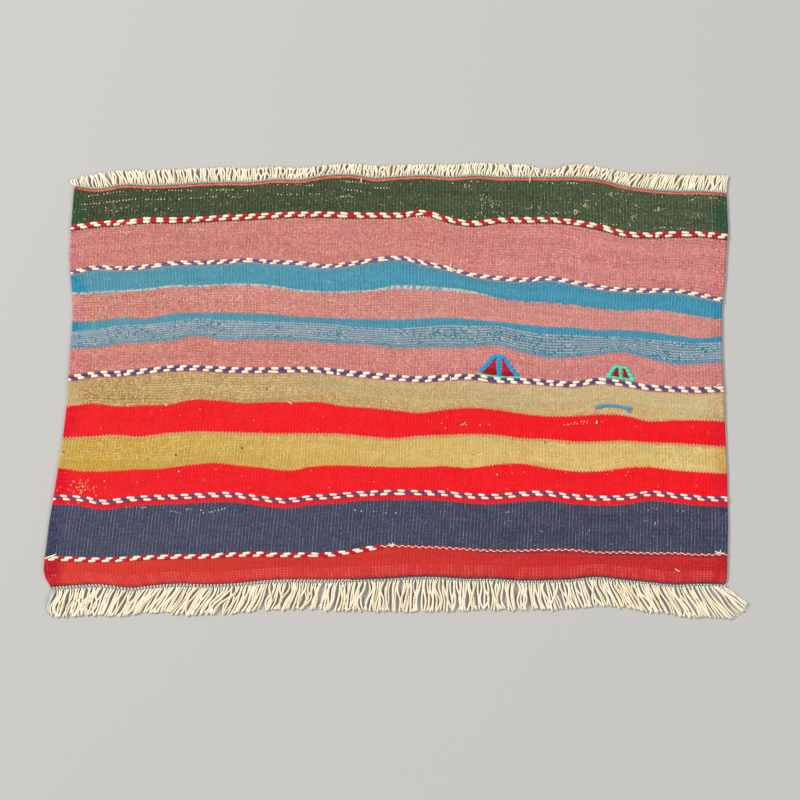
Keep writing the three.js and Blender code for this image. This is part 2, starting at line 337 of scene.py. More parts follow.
def woven_wool_group():
    """Weft-faced wool: its picks over the warps, the shade of each float and pick, and its flecks, with
    painted shade in the furrows between the ribs and painted highlights on some crests.
    """
    tree, given, result = shader_group("woven_wool", "Weave", WOOL_COLOURS, WOOL_SHARES)
    times, times_plus, plus, less = sums(tree)
    rib, height_up = node(tree, "SeparateXYZ", {0: given["Weave"]}).outputs[:2]
    warp = times(rib, 2.0)
    column = reckon(tree, "FLOOR", warp)
    low_warp = times(reckon(tree, "FRACT", times(column, 0.5)), 2.0)
    pick = times_plus(low_warp, 0.5, height_up)
    row = reckon(tree, "FLOOR", pick)
    crest = reckon(tree, "SINE", times(reckon(tree, "FRACT", warp), math.pi))
    belly = reckon(tree, "SINE", times(reckon(tree, "FRACT", pick), math.pi))
    round_pick = times_plus(reckon(tree, "POWER", belly, 0.6), 0.6, 0.4)
    height = times(reckon(tree, "POWER", crest, 0.5), round_pick)

    cell = node(tree, "CombineXYZ", {0: column, 1: row}).outputs[0]
    chances = node(tree, "TexWhiteNoise", {"Vector": cell}, noise_dimensions="2D").outputs["Color"]
    float_tone, fleck_tone, _ = node(tree, "SeparateColor", {0: chances}).outputs
    pick_row = times(times_plus(low_warp, 0.5, row), 2.37)
    pick_tone = speckle(tree, times(rib, 0.07), pick_row, 1.0)
    broad = speckle(tree, times(rib, 0.012), times(height_up, 0.16))
    patch = speckle(tree, times(rib, 0.09), times(height_up, 0.12))
    fibre = speckle(tree, times(rib, 3.0), times(height_up, 4.0))
    rib_patch = speckle(tree, times(rib, 0.4), times(height_up, 0.07))

    # The dye changes a little across the rug, has kept its depth at the selvedges, and shifts from
    # pick to pick.
    wool = blend(tree, reckon(tree, "DIVIDE", rib, float(RIBS)), given["Left Wool"], given["Right Wool"])
    from_edge = reckon(tree, "MINIMUM", rib, less(float(RIBS), rib))
    from_edge = times_plus(patch, 6.0, from_edge)
    wool = blend(tree, stretch(tree, from_edge, 5.5, 8.5, 1.0, 0.0), wool, given["Selvedge Wool"])
    streak = times_plus(less(float_tone, 0.5), 0.36, pick_tone)
    streak = times_plus(less(patch, 0.5), 0.35, streak)
    streak = times(stretch(tree, streak, 0.42, 0.68), given["Streak Share"])
    wool = blend(tree, streak, wool, given["Streak Wool"])
    gathered = times_plus(stretch(tree, patch, 0.3, 0.7, -1.0, 1.0), given["Patchiness"], 1.0)
    chance = times(given["Fleck Share"], gathered)
    half_row = reckon(tree, "FRACT", times(row, 0.5))
    every_other = reckon(tree, "SIGN", less(half_row, 0.25))
    turns = times_plus(every_other, given["Alternation"], 1.0)
    flecked = reckon(tree, "LESS_THAN", fleck_tone, times(chance, turns))
    wool = blend(tree, flecked, wool, given["Fleck And Highlight Wool"])

    streaks = plus(less(pick_tone, 0.5), less(broad, 0.5))
    shade = times_plus(times(streaks, given["Abrash"]), 2.0, 1.0)
    heather = plus(less(float_tone, 0.5), less(fibre, 0.5))
    shade = times_plus(times(heather, given["Heather"]), 2.0, shade)

    # Painted shade: the furrows between the ribs and the low warps are darker and deeper in colour. Painted
    # highlight: the crests are lighter here and there, towards the fleck colour.
    between = less(1.0, reckon(tree, "POWER", crest, 0.7))
    painted_groove_shade = times_plus(low_warp, 0.55, between)
    painted_groove_shade = times(painted_groove_shade, stretch(tree, rib_patch, 0.3, 0.7, 0.6, 1.4))
    painted_groove_shade = times(painted_groove_shade, given["Groove Shade"])
    # Painted highlight on the crests of some high warps, blended towards the fleck colour.
    below = times_plus(given["Alternation"], -0.5, 1.0)
    painted_highlight = less(1.0, times(low_warp, below))
    painted_highlight = times(painted_highlight, stretch(tree, rib_patch, 0.4, 0.65))
    painted_highlight = times(times(painted_highlight, crest), given["Crest Highlight"])
    painted_highlight = reckon(tree, "MINIMUM", times(painted_highlight, turns), 1.0)
    wool = blend(tree, painted_highlight, wool, given["Fleck And Highlight Wool"])
    # The painted shade in the furrows darkens the wool and deepens its colour.
    shade = times(shade, less(1.0, painted_groove_shade))
    shade = reckon(tree, "MAXIMUM", shade, 0.1)
    feeds = {"Color": wool, "Saturation": times_plus(painted_groove_shade, 0.4, 1.0), "Value": shade}
    feed(tree, result["Color"], node(tree, "HueSaturation", feeds).outputs[0])
    feed(tree, result["Roughness"], stretch(tree, fibre, 0.3, 0.7, 0.82, 0.97))
    feed(tree, result["Height"], times_plus(fibre, 0.25, height))
    return tree


WOVEN_WOOL = woven_wool_group()

# Each wool's colours: at the left of the rug, at the right, at the selvedges, in streaks along the
# picks, and in flecks and painted crest highlights; then the shares of streaks and of flecks, how far
# flecks gather in patches and keep to every other pick, how uneven the dye is from pick to pick and from
# float to float, how dark the painted shade in the furrows between the ribs is, and how bright the
# painted highlight on the crests of some ribs.
WOOLS = {
    "crimson_low": ((224, 72, 64), (198, 50, 54), (190, 34, 44), (214, 52, 52), (238, 118, 104),
        0.5, 0, 0.6, 1, 0.08, 0.08, 0.08, 0.5),
    "crimson": ((221, 68, 56), (189, 41, 46), (184, 28, 40), (214, 56, 52), (232, 104, 92),
        0.5, 0, 0.6, 0.5, 0.1, 0.08, 0.06, 0.06),
    "navy": ((80, 82, 101), (70, 70, 91), (66, 70, 94), (88, 92, 114), (126, 130, 154),
        0.5, 0.003, 0.7, 0.45, 0.1, 0.2, 0.4, 0.58),
    "scarlet": ((234, 36, 42), (243, 27, 36), (224, 22, 42), (248, 46, 48), (255, 100, 88),
        0.3, 0.003, 0.7, 0, 0.05, 0.08, 0.03, 0),
    "dun": ((206, 174, 118), (208, 178, 126), (196, 160, 110), (190, 150, 90), (224, 120, 86),
        0.5, 0.06, 0.4, 0.4, 0.1, 0.16, 0.16, 0),
    "gold": ((207, 167, 79), (240, 212, 146), (212, 174, 98), (198, 154, 72), (216, 150, 96),
        0.5, 0.025, 0.7, 0, 0.08, 0.16, 0.18, 0.1),
    "yellow": ((203, 161, 67), (243, 217, 154), (210, 170, 94), (198, 152, 70), (219, 187, 116),
        0.5, 0.38, 0.2, 0.85, 0.09, 0.16, 0.18, 0.2),
    "beige": ((174, 133, 77), (221, 195, 142), (204, 172, 120), (178, 132, 68), (209, 177, 124),
        0.6, 0.42, 0.2, 0.85, 0.16, 0.2, 0.12, 0.2),
    "straw": ((172, 134, 80), (216, 200, 156), (200, 170, 124), (180, 138, 76), (210, 184, 134),
        0.5, 0.42, 0.2, 0.85, 0.12, 0.18, 0.1, 0.2),
    "rose": ((206, 135, 121), (218, 141, 147), (211, 126, 138), (194, 86, 84), (215, 154, 139),
        0.72, 0.4, 0.25, 0.85, 0.13, 0.2, 0.14, 0.1),
    "pale_rose": ((202, 131, 116), (223, 149, 149), (211, 128, 140), (196, 98, 96), (217, 161, 145),
        0.55, 0.42, 0.3, 0.85, 0.14, 0.2, 0.16, 0.12),
    "blue": ((98, 160, 173), (77, 156, 184), (62, 148, 182), (70, 136, 166), (120, 176, 188),
        0.5, 0.004, 0.7, 0.4, 0.12, 0.2, 0.18, 0.2),
    "marl": ((104, 146, 157), (46, 130, 153), (90, 148, 166), (78, 131, 153), (178, 178, 182),
        0.5, 0.46, 0.2, 0.9, 0.1, 0.16, 0.14, 0.1),
    "pale_marl": ((130, 166, 176), (116, 158, 172), (120, 156, 170), (96, 150, 172), (200, 196, 188),
        0.4, 0.66, 0.15, 0, 0.1, 0.16, 0.16, 0),
    "dark_green": ((62, 70, 52), (62, 72, 52), (44, 60, 46), (50, 58, 42), (150, 150, 110),
        0.4, 0, 0.7, 0, 0.1, 0.2, 0.3, 0),
    "green": ((76, 82, 62), (90, 104, 78), (60, 94, 72), (54, 64, 44), (128, 134, 92),
        0.6, 0.022, 0.9, 0, 0.16, 0.46, 0.34, 0.26),
    "coral": ((252, 134, 106), (252, 132, 108), (240, 60, 50), (255, 80, 60), (255, 150, 120),
        0.3, 0.2, 0.7, 0, 0.06, 0.16, 0.2, 0),
    "red_ground": ((190, 26, 34), (190, 26, 34), (160, 20, 30), (130, 24, 30), (200, 60, 60),
        0.4, 0.1, 0.7, 0, 0.08, 0.2, 0.2, 0),
    "plum_ground": ((104, 70, 108), (104, 70, 108), (96, 64, 96), (150, 86, 104), (180, 116, 116),
        0.4, 0.1, 0.7, 0, 0.08, 0.2, 0.2, 0),
    "scarlet_ground": ((226, 38, 48), (226, 38, 48), (200, 30, 50), (150, 36, 70), (240, 70, 70),
        0.2, 0.1, 0.7, 0, 0.08, 0.1, 0.2, 0),
}


def group_material(name, group, place, feeds, relief, depth, gloss):
    """A material whose colour, roughness and relief come from a shader group. Its place in the weave or
    along the yarn is the UV map with the group's own word for it."""
    material = bpy.data.materials.new(name)
    material.use_nodes = True
    tree = material.node_tree
    shader = tree.nodes["Principled BSDF"]
    looks = tree.nodes.new("ShaderNodeGroup")
    looks.node_tree = group
    feed(tree, looks.inputs[place], node(tree, "UVMap", uv_map=place.lower()).outputs[0])
    for socket, value in feeds.items():
        feed(tree, looks.inputs[socket], value)
    bump = node(tree, "Bump", {"Strength": relief, "Distance": depth, "Height": looks.outputs["Height"]})
    feed(tree, shader.inputs["Base Color"], looks.outputs["Color"])
    feed(tree, shader.inputs["Roughness"], looks.outputs["Roughness"])
    feed(tree, shader.inputs["Normal"], bump.outputs[0])
    shader.inputs["Specular IOR Level"].default_value = gloss
    shader.inputs["Sheen Weight"].default_value = 0.08
    return material


def wool_material(name):
    """A dyed wool as it lies in the weave."""
    feeds = dict(zip(WOOL_COLOURS + WOOL_SHARES, WOOLS[name]))
    feeds.update((colour, dye(*feeds[colour])) for colour in WOOL_COLOURS)
    return group_material("wool_" + name, WOVEN_WOOL, "Weave", feeds, 0.8, 0.0006, 0.15)


def make_piece(name, points, faces, materials, slots, uv_name, uvs):
    """A piece of the rug from points in millimetres, riding on its one body."""
    mesh = bpy.data.meshes.new(name)
    mesh.from_pydata((np.array(points, float) * MM).tolist(), [], faces)
    for material in materials:
        mesh.materials.append(material)
    mesh.polygons.foreach_set("material_index", np.array(slots, np.int32))
    mesh.shade_smooth()
    corners = np.empty(len(mesh.loops), np.int32)
    mesh.loops.foreach_get("vertex_index", corners)
    layer = mesh.uv_layers.new(name=uv_name)
    layer.data.foreach_set("uv", np.array(uvs, np.float32)[corners].ravel())
    mesh.update()
    piece = bpy.data.objects.new(name, mesh)
    bpy.context.scene.collection.objects.link(piece)
    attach(piece, "root")
    return piece


def turn_faces_out(piece):
    """Turns every face of a closed piece outward."""
    work = bmesh.new()
    work.from_mesh(piece.data)
    bmesh.ops.recalc_face_normals(work, faces=work.faces)
    work.to_mesh(piece.data)
    work.free()


points, faces, wools, weave = cloth_mesh()
wool_names = list(dict.fromkeys(wools))
cloth = make_piece(
    "kilim_cloth", points, faces, [wool_material(name) for name in wool_names],
    [wool_names.index(wool) for wool in wools], "weave", weave,
)
turn_faces_out(cloth)
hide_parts("kilim_field")

# The twined bands
# Two weft yarns, one cream and one dyed, are twined about each other round every second rib, in two
# rows one above the other. They are woven in with the cloth and stand a little proud of it. The lower
# row is a rib out of step with the upper one, so the colours slant, now one way and now the other.
UP = Vector((0, 0, 1))
FLOAT_SIDES = 8
CREAM = (246, 237, 212)
BAND_LIFT = 0.45
FLOAT_THICK = 1.7
FLOAT_RISE = 0.9
FLOAT_LAP = 0.12


def sideways(way):
    """The level direction across a yarn at each point of its way."""
    last = len(way) - 1
    runs = [way[min(i + 1, last)] - way[max(i - 1, 0)] for i in range(len(way))]
    return [Vector((run.y, -run.x, 0)).normalized() for run in runs]


class Skein:
    """Yarns that are gathered into one mesh: points, faces, their wools, and each point's place along
    its yarn in millimetres and round it as a share of a turn."""

    def __init__(self):
        self.points, self.faces, self.slots, self.places = [], [], [], []

    def tube(self, centres, sides, widths, heights, slot, corners=FLOAT_SIDES):
        """A closed tube through the centres, as wide to its side and as high as given at each. Its twist
        starts anywhere."""
        first, along = len(self.points), random.uniform(0, 200)
        for i, centre in enumerate(centres):
            if i:
                along += (centre - centres[i - 1]).length
            for corner in range(corners):
                turn = corner / corners
                angle = 2 * math.pi * turn - math.pi / 2
                out = math.copysign(abs(math.cos(angle)) ** 0.75, math.cos(angle)) * widths[i] / 2
                up = math.copysign(abs(math.sin(angle)) ** 0.75, math.sin(angle)) * heights[i] / 2
                self.points.append(centre + sides[i] * out + UP * up)
                self.places.append((along, turn))
        for i in range(len(centres) - 1):
            for corner in range(corners):
                here = first + i * corners
                beside = (corner + 1) % corners
                above = here + corners
                self.faces.append((here + corner, here + beside, above + beside, above + corner))
                self.slots.append(slot)
        end = first + (len(centres) - 1) * corners
        self.faces.append(tuple(range(first + corners - 1, first - 1, -1)))
        self.faces.append(tuple(range(end, end + corners)))
        self.slots += [slot, slot]

    def over(self, start, end, width, thickness, base, rise, slot, rings=6, blunt=0.4, corners=FLOAT_SIDES):
        """A float: the yarn comes up at its start, lies over the cloth and goes down at its end."""
        run = Vector((end[0] - start[0], end[1] - start[1], 0))
        side = Vector((run.y, -run.x, 0)).normalized()
        shares = [0.5 - 0.5 * math.cos(math.pi * ring / rings) for ring in range(rings + 1)]
        swells = [math.sin(math.pi * (0.1 + 0.8 * share)) ** blunt for share in shares]
        rises = [rise * (math.sin(math.pi * (0.03 + 0.94 * share)) ** 0.45 - 0.5) for share in shares]
        centres = [
            Vector((start[0], start[1], base + up)) + run * share for share, up in zip(shares, rises)
        ]
        widths, heights = [width * s for s in swells], [thickness * s for s in swells]
        self.tube(centres, [side] * len(centres), widths, heights, slot, corners)

    def piece(self, name, materials, record_slot="striped_wool"):
        """The yarns as one piece of the rug."""
        return make_piece(
            name, self.points, self.faces, materials, self.slots, "yarn", self.places,
        )


def plied_yarn_group():
    """A plied yarn: its plies wind round it as ridges, and its fibres vary a little in shade. Painted shade
    darkens the furrows between the plies and, towards brown, the yarn's underside.
    """
    values = ("Ply Length", "Between Ply Shade", "Unevenness", "Underside Shade")
    tree, given, result = shader_group("plied_yarn", "Yarn", ("Wool",), values)
    times, times_plus, plus, less = sums(tree)
    place = node(tree, "SeparateXYZ", {0: given["Yarn"]}).outputs
    turn = plus(reckon(tree, "DIVIDE", place[0], given["Ply Length"]), place[1])
    half_turn = reckon(tree, "FRACT", times(turn, 2.0))
    ply = reckon(tree, "SINE", times(half_turn, math.pi))
    ridge = reckon(tree, "POWER", ply, 0.5)
    around = reckon(tree, "SINE", times(place[1], 2 * math.pi))
    below = reckon(tree, "COSINE", times(place[1], 2 * math.pi))
    fibre = speckle(tree, times(place[0], 2.2), times(around, 1.4))
    slow = speckle(tree, times(place[0], 0.11), 0.0, 1.0)
    uneven = plus(less(fibre, 0.5), less(slow, 0.5))
    shade = times_plus(times(uneven, given["Unevenness"]), 2.0, 1.0)
    # Painted shade in the furrows between the plies.
    painted_groove_shade = times(less(1.0, ridge), given["Between Ply Shade"])
    shade = times(shade, less(1.0, painted_groove_shade))
    shades = node(tree, "CombineXYZ", {0: shade, 1: shade, 2: shade}).outputs[0]
    dyed = node(tree, "VectorMath", {0: given["Wool"], 1: shades}, operation="MULTIPLY").outputs[0]
    # Painted shade: the underside of the yarn is darkened towards brown.
    shaded_underside = node(tree, "VectorMath", {0: dyed, 1: (0.4, 0.24, 0.13)}, operation="MULTIPLY").outputs[0]
    dyed = blend(tree, times(stretch(tree, below, -0.9, 0.5), given["Underside Shade"]), dyed, shaded_underside)
    feed(tree, result["Color"], dyed)
    feed(tree, result["Roughness"], stretch(tree, fibre, 0.3, 0.7, 0.8, 0.95))
    feed(tree, result["Height"], times_plus(fibre, 0.3, ridge))
    return tree


PLIED_YARN = plied_yarn_group()


def yarn_material(name, colour, ply_length=4.0, between_ply_shade=0.3, unevenness=0.12, underside_shade=0.4):
    """A plied yarn of one colour."""
    feeds = {
        "Wool": dye(*colour), "Ply Length": ply_length, "Between Ply Shade": between_ply_shade, "Unevenness": unevenness,
        "Underside Shade": underside_shade,
    }
    return group_material(name, PLIED_YARN, "Yarn", feeds, 0.6, 0.0003, 0.2)


def jitter(most):
    """A small chance value, either way."""
    return random.uniform(-most, most)


def on_cloth(rib, name, past):
    """The place of a rib on a woven line, or so many millimetres past it."""
    u = rib / RIBS
    y = float(line(name, u)) + past
    return float(across(u, y)), y


# Each band: its line, its dyed wool, how far its two rows lie from the line, how wide the yarns lie,
# and how many ribs the lower row is to the right of the upper one, from which share of the way across
TWINED_BANDS = {
    "red_band_far": (
        "red_far", (214, 22, 36), 1.65, 3.1,
        ((0, 1), (0.05, -1), (0.085, 0), (0.165, -1), (0.4, 1), (0.505, -1), (0.53, 1), (0.75, -1),
         (0.79, 1), (0.885, -1), (0.91, 1), (0.96, -1)),
    ),
    "plum_band_far": (
        "plum_far", (118, 98, 146), 1.3, 2.5,
        ((0, 1), (0.07, -1), (0.12, 1), (0.2, -1), (0.26, 1), (0.29, -1), (0.45, 1), (0.585, -1)),
    ),
    "plum_band_mid": (
        "plum_mid", (102, 78, 120), 1.9, 3.4,
        ((0, 1), (0.07, -1), (0.3, 1), (0.4, -1), (0.62, 1), (0.73, -1), (0.8, 1)),
    ),
    "plum_band_near": ("plum_near", (104, 74, 122), 1.8, 2.8, ((0, 1), (0.46, -1), (0.5, 1))),
    "red_band_near": ("red_near", (206, 20, 38), 1.4, 2.9, ((0, -1), (0.38, 1))),
}

# The share of the way across from which a band goes on in finer yarns, twined round every rib
FINE_FROM = {"red_band_near": 0.49}

random.seed(11)
cream_wool = yarn_material("cream_wool", CREAM, 4.0, 0.2, 0.16, 0.16)
for name, (line_name, colour, apart, yarn_width, slants) in TWINED_BANDS.items():
    skein = Skein()
    fine_from = FINE_FROM.get(name, 2.0) * RIBS
    for row, side in enumerate((1, -1)):
        step_right = float(slants[0][1])
        rib, count = row * step_right - 2.0, 0
        while rib < RIBS:
            wanted = [right for share, right in slants if share <= max(rib, 0) / RIBS][-1]
            fine = rib >= fine_from
            size = 0.5 if fine else 1.0
            long = 2.0 * size
            if row and not fine:
                change = min(max(wanted - step_right, -1), 1)
                step_right += change
                long += change
            wool = count % 2
            begin = max(rib - FLOAT_LAP + jitter(0.15) * size, 0.15)
            finish = min(rib + long + FLOAT_LAP + jitter(0.15) * size, RIBS - 0.15)
            if finish - begin > 0.4:
                past = side * apart * size + jitter(0.3) * size
                slant = -wanted * size * random.uniform(0.05, 0.5)
                start = on_cloth(begin, line_name, past - slant)
                end = on_cloth(finish, line_name, past + slant)
                cream_share, dyed_share = (0.78, 1.2) if fine else (1.08, 0.92)
                width = yarn_width * size * random.uniform(0.92, 1.1) * (dyed_share if wool else cream_share)
                base = CLOTH_TOP + BAND_LIFT + (jitter(0.08) + (0.12 if fine else -0.15) * wool)
                skein.over(start, end, width, FLOAT_THICK * size, base, FLOAT_RISE, wool, blunt=0.38)
            rib += long
            count += 1
    skein.piece(name, [cream_wool, yarn_material(name + "_wool", colour, underside_shade=0.2)])

# The brocaded trapezoids
# Two small figures stand on the middle plum band, laid in with extra weft while the cloth was woven:
# stitches of thick wool over two or three ribs, stepped in from row to row. The larger one is outlined
# in sky blue and the smaller one in mint, and both have a pair of red wedges inside.
BROCADE = {"sky": (4, 160, 220), "mint": (84, 226, 186), "ruby": (190, 24, 62), "garnet": (160, 12, 18)}
BROCADE_LIFT = 0.35
BROCADE_RISE = 0.7

# The ribs that the middles of the two figures stand on
LARGE_RIB = 131.5
SMALL_RIB = 168.6


def lay_stitch(skein, middle_rib, x, y, length, height, lean, wool):
    """A brocade stitch at x and y millimetres from the foot of a figure; lean raises its right end."""
    rib_width = float(across(1, 0) - across(0, 0)) / RIBS
    places = []
    for end in (-0.5, 0.5):
        places.append(on_cloth(middle_rib + (x + end * length) / rib_width, "plum_mid", y + end * lean))
    slot = list(BROCADE).index(wool)
    skein.over(*places, height, FLOAT_THICK, CLOTH_TOP + BROCADE_LIFT, BROCADE_RISE, slot, blunt=0.3)


def lay_wedge(skein, rib, foot_left, foot_right, top, foot, rows, garnet_rows):
    """A red wedge: rows of stitches that narrow from its foot to its top."""
    for row in range(rows):
        share = row / (rows - 1)
        y = foot + (top[1] - foot) * share
        left = foot_left + (top[0] - foot_left) * share
        right = foot_right + (top[0] - foot_right) * share
        length = max(right - left, 2.6)
        wool = "garnet" if row < garnet_rows else "ruby"
        height = (top[1] - foot) / (rows - 1) * 1.15
        lay_stitch(skein, rib, (left + right) / 2, y, length, height, -0.3, wool)


def lay_stitches(skein, middle_rib, places, length, height, wool):
    """Like brocade stitches, each at its x, y and lean."""
    for x, y, lean in places:
        lay_stitch(skein, middle_rib, x, y, length, height, lean, wool)


brocade_wools = [
    yarn_material(wool + "_brocade", colour, 3.2, 0.2, underside_shade=0.2) for wool, colour in BROCADE.items()
]
large = Skein()
left_side = ((-21.2, 10.0, 1.6), (-16.4, 15.4, 1.8), (-11.8, 20.8, 2.0), (-8.6, 25.6, 2.0))
right_side = ((21.4, 7.8, -2.0), (16.8, 12.8, -2.0), (13.2, 18.0, -2.2), (10.0, 23.6, -2.0))
top = ((-4.6, 28.8, 1.0), (0.4, 29.4, 0.0), (5.2, 28.2, -1.4))
lay_stitches(large, LARGE_RIB, left_side, 7.0, 4.5, "sky")
lay_stitches(large, LARGE_RIB, right_side, 6.8, 4.5, "sky")
lay_stitches(large, LARGE_RIB, top, 6.8, 4.2, "sky")
lay_stitches(large, LARGE_RIB, [(0.1, 6.4 + 3.7 * row, 0.0) for row in range(6)], 5.0, 3.9, "sky")
lay_wedge(large, LARGE_RIB, -20.0, -2.8, (-4.8, 25.4), 7.0, 8, 3)
lay_wedge(large, LARGE_RIB, 2.8, 18.8, (4.8, 25.0), 6.0, 8, 2)
lay_stitches(large, LARGE_RIB, [(x, 4.2, 0.0) for x in (-22, -13, -4, 5, 14, 22)], 9.4, 2.2, "mint")
large.piece("large_trapezoid", brocade_wools)

small = Skein()
left_side = ((-13.4, 9.0, 0.8), (-10.8, 13.0, 1.4), (-8.4, 17.0, 1.6))
right_side = ((14.0, 7.8, -1.4), (11.8, 12.0, -1.6), (9.6, 16.2, -1.6))
lay_stitches(small, SMALL_RIB, left_side + right_side, 5.6, 3.9, "mint")
lay_stitches(small, SMALL_RIB, [(x, 19.6, 0.0) for x in (-5.4, 0.4, 6.2)], 6.2, 3.4, "mint")
lay_stitches(small, SMALL_RIB, [(0.4, 8.4 + 3.0 * row, 0.0) for row in range(4)], 3.8, 2.8, "mint")
lay_stitches(small, SMALL_RIB, [(x, 6.0, 0.0) for x in (-14, -7, 0, 7, 14)], 7.4, 2.6, "mint")
lay_wedge(small, SMALL_RIB, -9.8, -2.2, (-4.6, 17.0), 8.6, 6, 6)
lay_wedge(small, SMALL_RIB, 3.2, 9.8, (4.6, 17.0), 8.2, 6, 6)
small.piece("small_trapezoid", brocade_wools)

# The end finishes
# At each end the last picks are locked by a row of fine twining that holds the warps: light blue and
# undyed at the far end, and navy over teal and white at the near end. They lie against the cloth.
FINISH_LIFT = 2.4
FINISH_WOOLS = {
    "far_finish_blue": (156, 164, 164), "near_finish_navy": (86, 98, 116),
    "near_finish_teal": (82, 130, 132), "finish_white": (226, 222, 204),
}
FINISH_THICK = 1.5
WHITE_PROUD = 0.25
BLUE, NAVY, TEAL, WHITE = range(4)


def lay_finish(skein, line_name, past, width, pair, start=0.0, end=1.0):
    """A row of fine twining past an end of the cloth, in two wools, from start to end of the way across."""
    rib, count = start * RIBS + 0.1, 0
    while rib < end * RIBS - 0.5:
        wool = pair[count % 2]
        long = 0.58 if wool == WHITE else 0.5
        begin = on_cloth(rib, line_name, past + jitter(0.15))
        finish = on_cloth(rib + long, line_name, past + jitter(0.15))
        size = width * random.uniform(1.0, 1.2) if wool == WHITE else width
        lift = FINISH_LIFT + (WHITE_PROUD if wool == WHITE else 0.0)
        skein.over(begin, finish, size, FINISH_THICK, lift, 0.5, wool, rings=4, corners=6)
        rib += 0.5 * random.uniform(0.94, 1.06)
        count += 1


random.seed(23)
finish_wools = [yarn_material(name, colour) for name, colour in FINISH_WOOLS.items()]
far_finish = Skein()
lay_finish(far_finish, "far", 0.8, 1.3, (BLUE, BLUE))
lay_finish(far_finish, "far", 2.0, 1.2, (WHITE, BLUE))
far_finish.piece("far_end_twining", finish_wools)
near_finish = Skein()
lay_finish(near_finish, "near", -0.6, 1.5, (NAVY, WHITE), 0.0, 0.45)
lay_finish(near_finish, "near", -0.6, 1.5, (NAVY, NAVY), 0.45, 1.0)
lay_finish(near_finish, "near", -2.2, 1.8, (TEAL, WHITE))
near_finish.piece("near_end_twining", finish_wools)

# The warp fringe
# The undyed cotton warps run on past the finishes, plied into yarns a little closer than the ribs, and
# are cut nearly level. They draw together in twos and threes, cross here and there, and lie on the
# floor.
YARN_THICK = 2.6
YARN_APART = 0.62
# Each fringe yarn's name, colour, and how much painted shade darkens its underside towards brown
FRINGE_YARNS = (
    ("fringe_cotton", (255, 247, 222), 0.95), ("fringe_blue", (202, 210, 206), 0.7),
    ("aged_cotton", (252, 236, 202), 0.95),
)
COTTON, BLUE_TINGE, AGED = range(3)
AGED_SHARE = 0.4
ASTRAY_SHARE = 0.12
ASTRAY_HIGH = 2.4

# The fringe along each end: the share of the way across, its length from the cloth's edge, and how far
# it leans to the right for each millimetre of that length
FAR_FRINGE = (
    (0, 8, -0.5), (0.02, 15, -0.4), (0.045, 20, -0.3), (0.077, 18, -0.3), (0.154, 20, -0.15),
    (0.231, 19, 0), (0.308, 17, 0.05), (0.385, 14, 0.25), (0.46, 16, 0.1), (0.54, 15, 0.25),
    (0.615, 17, 0.2), (0.69, 17, 0.15), (0.715, 12, -0.1), (0.735, 11, 0.6), (0.75, 16, 0.35),
    (0.77, 17, 0.5), (0.81, 15, 0.6), (0.846, 17, 0.6), (0.883, 21, 0.55), (0.923, 21, 0.5), (0.96, 21, 0.3),
    (1, 22, 0.15),
)
NEAR_FRINGE = (
    (0, 32, -0.2), (0.02, 38, -0.3), (0.077, 37, -0.4), (0.154, 33, -0.7), (0.231, 37, -0.6),
    (0.308, 37, -0.4), (0.385, 36, -0.3), (0.4615, 39, -0.2), (0.538, 43, -0.05), (0.615, 40, 0),
    (0.692, 37, 0.1), (0.769, 36, 0.35), (0.846, 37, 0.5), (0.923, 41, 0.55), (0.97, 43, 0.7),
    (1, 24, 1.35),
)


def lay_fringe(name, line_name, outward, strip, lengths, wildness, steps):
    """One end's fringe: its yarns side by side, each from the finish to its cut tip."""

    def stray(spread):
        """A chance value about nought, larger in the wilder fringe."""
        return random.gauss(0, spread) * wildness

    skein = Skein()
    shares, reaches, leans = np.array(lengths, float).T
    last = int(RIBS / YARN_APART)
    yarn = 0
    while yarn < last:
        count = min(random.choice((1, 2, 2, 3, 3, 4)), last - yarn)
        bow = stray(1.0)
        astray = stray(0.8)
        draw = random.uniform(-0.25, 0.5)
        lift = random.uniform(0, 0.9)
        for k in range(count):
            u = (yarn + k + 0.5) / last
            from_middle = k - (count - 1) / 2
            root_y = float(line(line_name, u)) + outward * (strip - 0.3)
            root_x = float(across(u, root_y)) + jitter(0.4)
            length = (float(np.interp(u, shares, reaches)) - strip) * random.gauss(1, 0.03)
            lean = float(np.interp(u, shares, leans))
            tip = lean * length + astray - from_middle * draw + stray(0.9)
            own_bow = bow + stray(0.9)
            wave = stray(1.15)
            high = lift + random.uniform(0, 0.9)
            if random.random() < ASTRAY_SHARE:
                tip += stray(5.5)
                high = ASTRAY_HIGH
            centres = []
            for step in range(steps + 1):
                t = step / steps
                x = root_x + tip * t**1.15
                x += own_bow * math.sin(math.pi * t) + wave * math.sin(2.2 * math.pi * t)
                y = root_y + outward * (length + 0.3) * t
                root_fall = max(0.0, 1 - t * 3.2) ** 1.5
                resting = math.sin(math.pi * min(1, t * 1.05)) ** 0.8
                centres.append(Vector((x, y, YARN_THICK / 2 + 0.05 + 0.5 * root_fall + high * resting)))
            thick = YARN_THICK * random.uniform(0.82, 1.06)
            thicks = [thick * min(1.0, 0.6 + 1.6 * i / steps) for i in range(len(centres))]
            thicks[-1] = thick * 1.06
            heights = [size * 0.9 for size in thicks]
            slot = AGED if random.random() < AGED_SHARE else COTTON
            if outward < 0 and yarn + k < 2:
                slot = BLUE_TINGE
            skein.tube(centres, sideways(centres), thicks, heights, slot)
        yarn += count
    return skein.piece(name, fringe_yarns, "warp_cotton")


random.seed(37)
fringe_yarns = [yarn_material(name, colour, 7.0, 0.3, 0.12, underside_shade) for name, colour, underside_shade in FRINGE_YARNS]
far_fringe = lay_fringe("far_fringe", "far", 1, 2.2, FAR_FRINGE, 0.7, 9)
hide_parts("fringe_far")
near_fringe = lay_fringe("near_fringe", "near", -1, 3.6, NEAR_FRINGE, 1.3, 16)
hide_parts("fringe_near")

